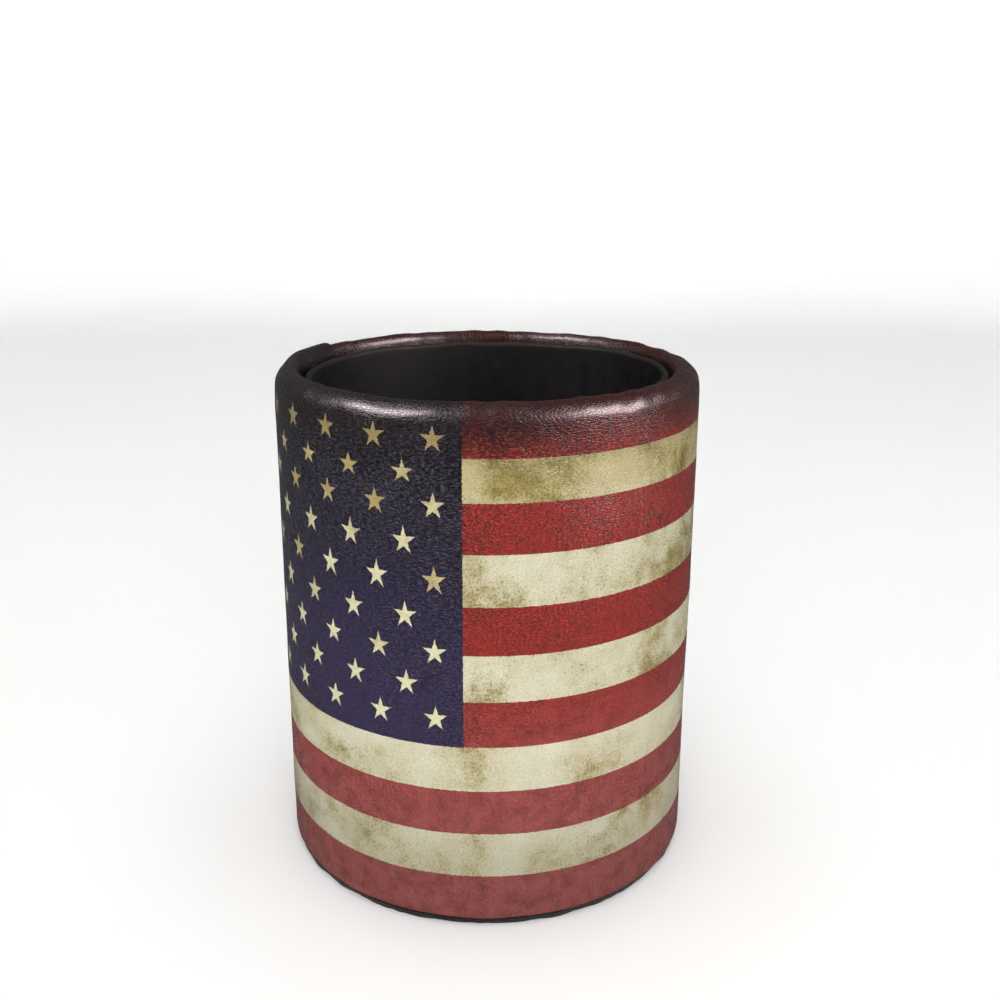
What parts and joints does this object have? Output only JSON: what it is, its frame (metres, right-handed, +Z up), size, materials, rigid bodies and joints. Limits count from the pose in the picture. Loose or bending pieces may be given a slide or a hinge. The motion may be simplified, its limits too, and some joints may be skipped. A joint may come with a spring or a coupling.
{
  "type": "pen holder cup",
  "caption": "Round desk pen cup: greyboard tube wrapped in padded, printed faux leather turned over the rim, with a black lined inner sleeve and a pad under the base.",
  "frame": {"origin": "centre of the underside of the base pad, where the cup stands", "axes": "+Z up the axis of the cup and out of its mouth; the front, where the starred field of the print meets the stripes, faces -Y; +X to the right of someone looking at the front"},
  "size_m": [0.09, 0.09, 0.1087],
  "materials": {
    "printed_faux_leather": "printed, crinkle grain, semi-gloss",
    "foam_padding": "soft foam sheet",
    "greyboard": "raw grey chipboard",
    "sleeve_card": "raw card",
    "black_lining": "fine grain, satin black",
    "base_felt": "black needle felt"
  },
  "bodies": {
    "root": {"cover": "printed_faux_leather", "padding": "foam_padding", "core_tube": "greyboard", "base_board": "greyboard", "lining_card": "sleeve_card", "lining": "black_lining", "floor_card": "sleeve_card", "floor_lining": "black_lining", "base_pad": "base_felt"}
  },
  "joints": []
}
